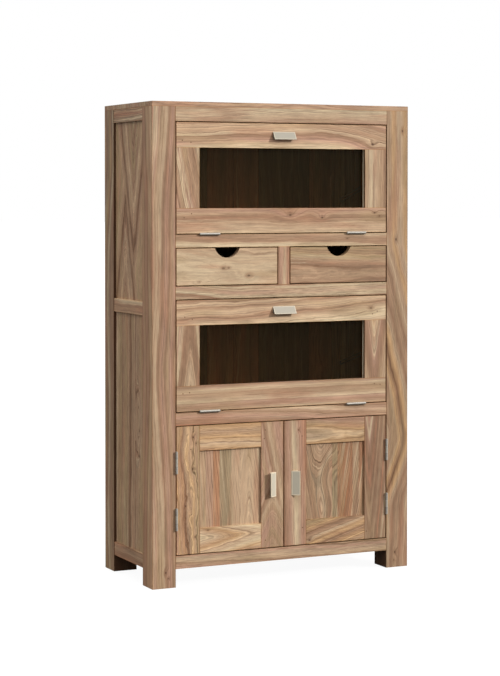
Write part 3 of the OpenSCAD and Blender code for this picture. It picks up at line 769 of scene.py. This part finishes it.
# Tones and brightness of the back boards, from the left, as the panes show them
BACK_BOARDS = (("tan", 0.95), ("brown", 0.85), ("olive", 0.7), ("red", 1.15), ("red", 1.1),
               ("olive", 0.6), ("brown", 0.6), ("red", 1.2))
FIRST_BACK_SEED = 160
for number, (tone, dim) in enumerate(BACK_BOARDS):
    SHOWN[f"back_boards_{number}"] = dict(
        tones=f"{tone} {tone} brown {tone}", sway=20, curl=6, bands=0.5, figure=0.6, lines=0.3,
        dim=dim, seed=FIRST_BACK_SEED + number)

# The face that each node shows, where it isn't the front
FACES = {
    "post_back_left": "-x",
    "left_side_rails": "-x", "left_side_panels": "-x",
    "right_side_rails": "+x", "right_side_panels": "+x",
    "shelf_battens": "-x", "drawer_side_guides": "-x", "drawer_centre_guide": "-x",
    "top_board": "+z", "upper_shelf": "+z", "drawer_shelf": "+z", "lower_shelf": "+z",
    "cupboard_floor": "+z", "left_drawer_bottom": "+z", "right_drawer_bottom": "+z",
    "back_boards": "+y", "back_rails": "+y",
}


def board_of(node, low, high):
    size = high - low
    face = FACES.get(node, "-y")
    if node.endswith("_drawer_box") and size.y > size.x:
        face = "-x"
    return Board(low, high, face)


def dress_wood(node, number, low, high):
    """The wood of one board: what SHOWN says of it, and the rest drawn from its own name."""
    shown = f"{node}_{number}"
    name = f"wood_{shown}"
    chance = random.Random(name)
    start = chance.randrange(len(PLAIN_TONES))
    settings = {
        "tones": " ".join((PLAIN_TONES * 2)[start:start + PLAIN_COUNT]),
        "seed": chance.uniform(1, 40),
        "pith": (chance.uniform(-500, -150), chance.uniform(100, 300)),
        "taper": chance.uniform(-0.01, 0.01),
    }
    settings.update(SHOWN.get(shown, {}))
    return wood(name, board_of(node, low, high), **settings)


STEEL = metal("brushed_steel", (146, 140, 128), "x", roughness=0.42)
# Painted light: copies of one hinge steel, darker for the level flap hinges, brighter for the
# door's
HINGE_STEEL = metal("hinge_steel", (162, 156, 146), "x", roughness=0.5)
DOOR_HINGE_STEEL = metal("door_hinge_steel", (205, 200, 186), "z", roughness=0.35, metallic=0.85)
# Painted shade: darker steel for the floors of the screws' cross recesses
RECESS_SHADE_STEEL = metal("recess_shade_steel", (96, 92, 86), "x", roughness=0.45)
GLASS = glass("smoked_glass", tint=(0.95, 0.87, 0.75), film=(72, 62, 45), glare=(132, 126, 106),
              dust=0.08)
CATCH = plastic("catch_plastic", (96, 84, 74))
PIN_WOOD = pin_wood()


# Painted light: copies of one handle steel, darker for the level flap handles, brighter for the
# door's
def handle_steel(node):
    name, box = f"steel_{node}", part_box(node)
    if "door" in node:
        return metal(name, (207, 199, 181), "z", roughness=0.42, metallic=0.35, box=box)
    return metal(name, (147, 142, 131), "x", roughness=0.42, box=box)


def single_material(node):
    """The material of a node that is all of one, or None for one that is made of boards."""
    if node.endswith("_glass"):
        return GLASS
    if node == "magnetic_catches":
        return CATCH
    if "hinge" in node:
        return DOOR_HINGE_STEEL if "door" in node else HINGE_STEEL
    if node.endswith("_handle"):
        return handle_steel(node)
    return STEEL if "stay" in node else None


for node, thing in NODES.items():
    mesh = thing.data
    mesh.materials.clear()
    material = single_material(node)
    if material:
        mesh.materials.append(material)
        continue
    for number, (low, high, faces) in enumerate(solids(node)):
        mesh.materials.append(dress_wood(node, number, low, high))
        for index in faces:
            mesh.polygons[index].material_index = number

# How far wear has rounded the edges of the outer frame, the other boards and the handles
FRAME_EDGE = 0.9 * MM
BOARD_EDGE = 0.5 * MM
HANDLE_EDGE = 0.3 * MM


def bevel(node, width):
    made = NODES[node].modifiers.new("worn edges", "BEVEL")
    made.width = width
    made.segments = 2
    made.limit_method = "ANGLE"
    made.angle_limit = math.radians(40)
    made.harden_normals = True


for node in NODES:
    if node.startswith("post_") or node in ("top_board", "top_rail", "bottom_rail"):
        bevel(node, FRAME_EDGE)
    elif node.endswith("_handle"):
        bevel(node, HANDLE_EDGE)
    elif not any(word in node for word in ("hinge", "stay", "glass")):
        bevel(node, BOARD_EDGE)


# Small pieces that the CAD leaves out; places are in millimetres in the shared frame
RING_POINTS = 24
ARC_STEPS = 4
# Profiles of turned heads, as (share of the radius, rise), from below
PLUG = [(1, -0.1), (1, 0.03), (0.7, 0.06), (0.3, 0.06)]
FLAT_HEAD = [(1, -0.1), (1, 0.02), (0.93, 0.05)]
PAN_HEAD = [(1, -0.1), (1, 0.8), (0.9, 1.6), (0.74, 2.1), (0.6, 2.3)]
# Radius, profile and depth of the recess of each kind of screw
SHALLOW = 0.04
LEAF_SCREW = (3.0, FLAT_HEAD, SHALLOW)
CATCH_SCREW = (2.8, FLAT_HEAD, SHALLOW)
STRIKE_SCREW = (2.4, FLAT_HEAD, SHALLOW)
HANDLE_SCREW = (4.0, PAN_HEAD, 1.3)
# A cross recess, in shares of the radius: how far its arms reach, and half their width
CROSS_REACH, CROSS_HALF = 0.52, 0.12
PIN_RADIUS = 1.9
BACKWARD, FORWARD = (0, 1, 0), (0, -1, 0)
UPWARD, DOWNWARD = (0, 0, 1), (0, 0, -1)


def cross(radius):
    """The outline of a cross recess, with as many points as a ring of the head."""
    a, w = radius * CROSS_REACH, radius * CROSS_HALF
    m = (a + w) / 2
    corner = [(a, 0), (a, w), (m, w), (w, w), (w, m), (w, a)]
    return [(x * c - y * s, x * s + y * c) for c, s in ((1, 0), (0, 1), (-1, 0), (0, -1))
            for x, y in corner]


def shell(bm, loops):
    """A closed skin over loops of as many vertices each; what it gives back is its last face."""
    count = len(loops[0])
    for one, other in zip(loops, loops[1:]):
        for i in range(count):
            j = (i + 1) % count
            bm.faces.new((one[i], one[j], other[j], other[i]))
    bm.faces.new(list(reversed(loops[0])))
    return bm.faces.new(loops[-1])


def turned(bm, place, way, radius, rings, recess=0.0, turn=0.0):
    """A turned head or plug that stands up from a surface, with a cross recess if it has one."""
    spin = Matrix.Rotation(turn, 4, "Z")
    stand = Matrix.Translation(Vector(place) * MM) @ Vector(way).to_track_quat(
        "Z", "Y").to_matrix().to_4x4() @ spin @ Matrix.Scale(MM, 4)
    angles = [math.tau * i / RING_POINTS for i in range(RING_POINTS)]
    outlines = [[(radius * share * math.cos(a), radius * share * math.sin(a), rise)
                 for a in angles] for share, rise in rings]
    if recess:
        top = rings[-1][1]
        outlines += [[(x, y, z) for x, y in cross(radius)] for z in (top, top - recess)]
    loops = [[bm.verts.new(stand @ Vector(point)) for point in outline] for outline in outlines]
    # The floor of a cross recess takes the second material, which is painted shade
    shell(bm, loops).material_index = 1 if recess else 0


def plate(bm, low, high, corner):
    """A thin plate that faces the front, with rounded corners, between two corners of its box."""
    outline = []
    for number, (x, z) in enumerate(((high[0], high[2]), (low[0], high[2]),
                                     (low[0], low[2]), (high[0], low[2]))):
        middle_x = x - corner if x == high[0] else x + corner
        middle_z = z - corner if z == high[2] else z + corner
        for step in range(ARC_STEPS + 1):
            a = math.pi / 2 * (number + step / ARC_STEPS)
            outline.append((middle_x + corner * math.cos(a), middle_z + corner * math.sin(a)))
    shell(bm, [[bm.verts.new(Vector((x, y, z)) * MM) for x, z in outline]
               for y in (low[1], high[1])])


def add(name, data):
    thing = bpy.data.objects.new(name, data)
    bpy.context.scene.collection.objects.link(thing)
    return thing


def piece(name, body, slot, materials, build, *details):
    """A new piece that build fills in from its details; it moves with a body."""
    bm = bmesh.new()
    build(bm, *details)
    bmesh.ops.recalc_face_normals(bm, faces=bm.faces)
    mesh = bpy.data.meshes.new(name)
    bm.to_mesh(mesh)
    bm.free()
    for material in materials:
        mesh.materials.append(material)
    thing = add(name, mesh)
    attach(thing, body)


def heads(name, body, places, way, screw=LEAF_SCREW):
    """Screw heads of one kind on one body, each turned its own way."""
    chance = random.Random(name)

    def build(bm):
        for place in places:
            facing = way(place) if callable(way) else way
            turned(bm, place, facing, *screw, chance.uniform(0, math.pi))

    # The second material paints shade into the cross recesses
    piece(name, body, "brushed_steel", [STEEL, RECESS_SHADE_STEEL], build)


def box_mm(node):
    """A node's lowest and highest corner, in millimetres."""
    return [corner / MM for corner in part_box(node)]


PIVOTS = {joint["name"]: Vector(joint["pos_m"]) / MM
          for joint in frame["joints"] if "pos_m" in joint}
# The fronts and the backs of the flaps and doors
FRONT, INNER = [corner.y for corner in box_mm("upper_flap_rails")]
# Butt hinges: half their length, half the slit between their leaves, and their screws, as
# (along the pin, in from it)
HINGE_HALF = 34
LEAF_SLIT = 0.15
HINGE_SCREWS = ((-22, 11), (0, 15), (22, 11))
# Handles: the thickness of the leg that the screws hold, and where along it they sit
HANDLE_LEG = 3
HANDLE_SCREWS = (-24, 24)
# Stays: how far screws lie above and below the pivots and pins, how far out the brackets' screws
# and the pins' plates lie, a bracket's thickness and half a plate's height
STAY_SCREWS = (-14, 14)
BRACKET_X = 354.7
PIN_PLATE_X = 370
BRACKET_PLATE = 2
PIN_PLATE_HALF = 20


def hinge_middles(node, axis):
    """Where the middles of two hinges lie along their pins."""
    low, high = box_mm(node)
    return low[axis] + HINGE_HALF, high[axis] - HINGE_HALF


def flap_screws(flap):
    pin = PIVOTS[f"{flap}_hinge"]
    spots = [(middle + x, pin.y + y) for middle in hinge_middles(f"{flap}_hinge_leaves", 0)
             for x, y in HINGE_SCREWS]
    heads(f"{flap}_hinge_screws", flap, [(x, y, pin.z + LEAF_SLIT) for x, y in spots], DOWNWARD)
    heads(f"{flap}_rail_hinge_screws", "cabinet",
          [(x, y, pin.z - LEAF_SLIT) for x, y in spots], UPWARD)
    leg = box_mm(f"{flap}_handle")[1].z - HANDLE_LEG / 2
    heads(f"{flap}_handle_screws", flap, [(x, INNER, leg) for x in HANDLE_SCREWS], BACKWARD,
          HANDLE_SCREW)
    pivot = PIVOTS[flap.replace("flap", "left_stay_pivot")]
    heads(f"{flap}_stay_screws", flap,
          [(x, INNER + BRACKET_PLATE, pivot.z + z) for x in (-BRACKET_X, BRACKET_X)
           for z in STAY_SCREWS], BACKWARD)


def door_screws(door):
    pin = PIVOTS[f"{door}_hinge"]
    side = math.copysign(1, pin.x)
    spots = [(pin.y + y, middle + z) for middle in hinge_middles(f"{door}_hinge_leaves", 2)
             for z, y in HINGE_SCREWS]
    heads(f"{door}_hinge_screws", door,
          [(pin.x - side * LEAF_SLIT, y, z) for y, z in spots], (side, 0, 0))
    heads(f"{door}_post_hinge_screws", "cabinet",
          [(pin.x + side * LEAF_SLIT, y, z) for y, z in spots], (-side, 0, 0))
    low, high = box_mm(f"{door}_handle")
    leg = min(abs(low.x), abs(high.x)) + HANDLE_LEG / 2
    middle = (low.z + high.z) / 2
    heads(f"{door}_handle_screws", door, [(side * leg, INNER, middle + z) for z in HANDLE_SCREWS],
          BACKWARD, HANDLE_SCREW)


def inward(place):
    return (-1 if place[0] > 0 else 1, 0, 0)


for flap in ("upper_flap", "lower_flap"):
    flap_screws(flap)
for door in ("left_door", "right_door"):
    door_screws(door)

pins_low, pins_high = box_mm("stay_pins")
pins_y = (pins_low.y + pins_high.y) / 2
heads("stay_plate_screws", "cabinet",
      [(x, pins_y, pin + z) for x in (-PIN_PLATE_X, PIN_PLATE_X)
       for pin in (pins_high.z - PIN_PLATE_HALF, pins_low.z + PIN_PLATE_HALF)
       for z in STAY_SCREWS], inward)

# Magnetic catches: where they sit across the front, their height and their screws
CATCH_X = {"upper_flap": 0, "lower_flap": 0, "left_door": -45, "right_door": 45}
CATCH_HEIGHT = 14
CATCH_SCREWS = (-13, 13)
# The gap over a flap or door, under the rail that its catch is screwed to
GAP = 3
# Pole plates: half their length and thickness, how deep they lie under the rail, how far they
# stand out of the catch and reach into it, and their corners
POLE_HALF = (17, 0.7)
POLE_DROPS = (5.5, 9.5)
POLE_OUT, POLE_IN = 0.05, 0.1
POLE_CORNER = 0.3
# Strike plates: half their length, their height, thickness and corners, and their screws
STRIKE_HALF = 18
STRIKE_HEIGHT = 11
STRIKE_THICKNESS = 0.17
STRIKE_CORNER = 2.5
STRIKE_SCREWS = (-12, 12)
STRIKE_SCREW_OUT = 0.15

catch_low, catch_high = box_mm("magnetic_catches")
CATCHES = {body: (x, box_mm(f"{body}_rails")[1].z) for body, x in CATCH_X.items()}
heads("catch_screws", "cabinet",
      [(x + side, (catch_low.y + catch_high.y) / 2, top + GAP - CATCH_HEIGHT)
       for x, top in CATCHES.values() for side in CATCH_SCREWS], DOWNWARD, CATCH_SCREW)


def poles(bm):
    long, thin = POLE_HALF
    for x, top in CATCHES.values():
        for drop in POLE_DROPS:
            z = top + GAP - drop
            plate(bm, (x - long, catch_low.y - POLE_OUT, z - thin),
                  (x + long, catch_low.y + POLE_IN, z + thin), POLE_CORNER)


def strike_plate(bm, x, top):
    plate(bm, (x - STRIKE_HALF, INNER, top - STRIKE_HEIGHT),
          (x + STRIKE_HALF, INNER + STRIKE_THICKNESS, top), STRIKE_CORNER)


piece("magnet_poles", "cabinet", "brushed_steel", [STEEL], poles)
for body, (x, top) in CATCHES.items():
    piece(f"{body}_strike_plate", body, "brushed_steel", [STEEL], strike_plate, x, top)
    heads(f"{body}_strike_screws", body,
          [(x + side, INNER + STRIKE_SCREW_OUT, top - STRIKE_HEIGHT / 2)
           for side in STRIKE_SCREWS], BACKWARD, STRIKE_SCREW)

# Tongues between the back boards: how far they reach into each, half their thickness, how far
# they stop short of its ends, and their corners
TONGUE_REACH = 1
TONGUE_HALF = 1.5
TONGUE_SHORT = 0.5
TONGUE_CORNER = 0.2


def tongues(bm):
    """The tongues that close the seams between the back boards."""
    boards = sorted(solids("back_boards"), key=lambda board: board[0].x)
    for (low, high, _), (other, _, _) in zip(boards, boards[1:]):
        middle = (low.y + high.y) / 2 / MM
        plate(bm, (high.x / MM - TONGUE_REACH, middle - TONGUE_HALF, low.z / MM + TONGUE_SHORT),
              (other.x / MM + TONGUE_REACH, middle + TONGUE_HALF, high.z / MM - TONGUE_SHORT),
              TONGUE_CORNER)


# Ends of the pins that lock the corner joints, as (x, z) on the faces, from the photograph
JOINT_PINS = {
    "upper_flap": [(-349, 1380.5), (-320, 1375), (-343, 1142), (-318, 1154.5),
                   (319, 1378), (350, 1382), (326, 1154.5), (344, 1144.5)],
    "lower_flap": [(-341, 835), (-316, 828), (-347.5, 598.5), (-325, 601),
                   (337, 836.5), (320, 828), (327, 602), (348, 599)],
    "left_door": [(-65, 472), (-69, 445), (-65, 123.5), (-314.5, 463), (-321, 425)],
    "right_door": [(52, 466), (65, 446), (67, 154), (299, 125)],
}


def joint_pins(bm, spots):
    for x, z in spots:
        turned(bm, (x, FRONT, z), FORWARD, PIN_RADIUS, PLUG)


piece("back_board_tongues", "cabinet", "inside_wood", [PIN_WOOD], tongues)
for body, spots in JOINT_PINS.items():
    piece(f"{body}_joint_pins", body, "frame_wood", [PIN_WOOD], joint_pins, spots)


# Floor, light and camera
LAMP_DISTANCE = 5


def floor(size, drop, glow):
    """A dark floor that shows almost as pale as the backdrop, so that its shadows stay faint."""
    bpy.ops.mesh.primitive_plane_add(size=size, location=(0, 0, -drop))
    plane = bpy.context.object
    plane.name = "floor"
    s = Shader("pale_floor")
    plane.data.materials.append(s.surface(
        Base_Color=s.grey(s.between(s.cloud(0.8), 0.045, 0.05)),
        Roughness=0.9,
        Emission_Color=WHITE,
        Emission_Strength=s.times(s.camera_sees(), glow),
    ))


def sunlight(azimuth, elevation, softness, strength):
    """An even, soft light from one side; azimuth is from straight in front, to the right."""
    data = bpy.data.lights.new("key", "SUN")
    data.angle = math.radians(softness)
    data.energy = strength
    lamp = add("key", data)
    a, e = math.radians(azimuth), math.radians(elevation)
    way = Vector((math.sin(a) * math.cos(e), -math.cos(a) * math.cos(e), math.sin(e)))
    lamp.location = way * LAMP_DISTANCE
    lamp.rotation_mode = "QUATERNION"
    lamp.rotation_quaternion = way.to_track_quat("Z", "Y")


def surroundings(low, high, backdrop):
    """A plain room, lit more from above than from its sides, that shows as a pale backdrop."""
    s = Shader("studio", "worlds", "ShaderNodeOutputWorld")
    way = s.node("ShaderNodeTexCoord", {}).outputs["Generated"]
    rise = s.node("ShaderNodeSeparateXYZ", {0: way}).outputs["Z"]
    strength = s.spread(rise, 0, 1, low, high, False)
    lighting = s.node("ShaderNodeBackground", {"Color": WHITE, "Strength": strength})
    shown = s.node("ShaderNodeBackground", {"Color": WHITE, "Strength": backdrop})
    bpy.context.scene.world = s.ends_in(s.layered(s.camera_sees(), lighting, shown))


def camera():
    data = bpy.data.cameras.new("camera")
    data.sensor_width = SENSOR
    data.lens = FOCAL_PIXELS / PHOTO_HEIGHT * SENSOR
    data.shift_y = SHIFT_PIXELS / PHOTO_HEIGHT
    data.clip_start, data.clip_end = 0.05, 300
    thing = add("camera", data)
    thing.location = VIEW_PLACE
    thing.rotation_euler = (math.pi / 2 + VIEW_PITCH, 0, -VIEW_YAW)
    bpy.context.scene.camera = thing


floor(size=160, drop=0.5 * MM, glow=0.94)
surroundings(low=0.48, high=1.92, backdrop=1.0)
sunlight(azimuth=47, elevation=24, softness=5, strength=3.3)
camera()
bpy.context.scene.view_settings.view_transform = "Standard"
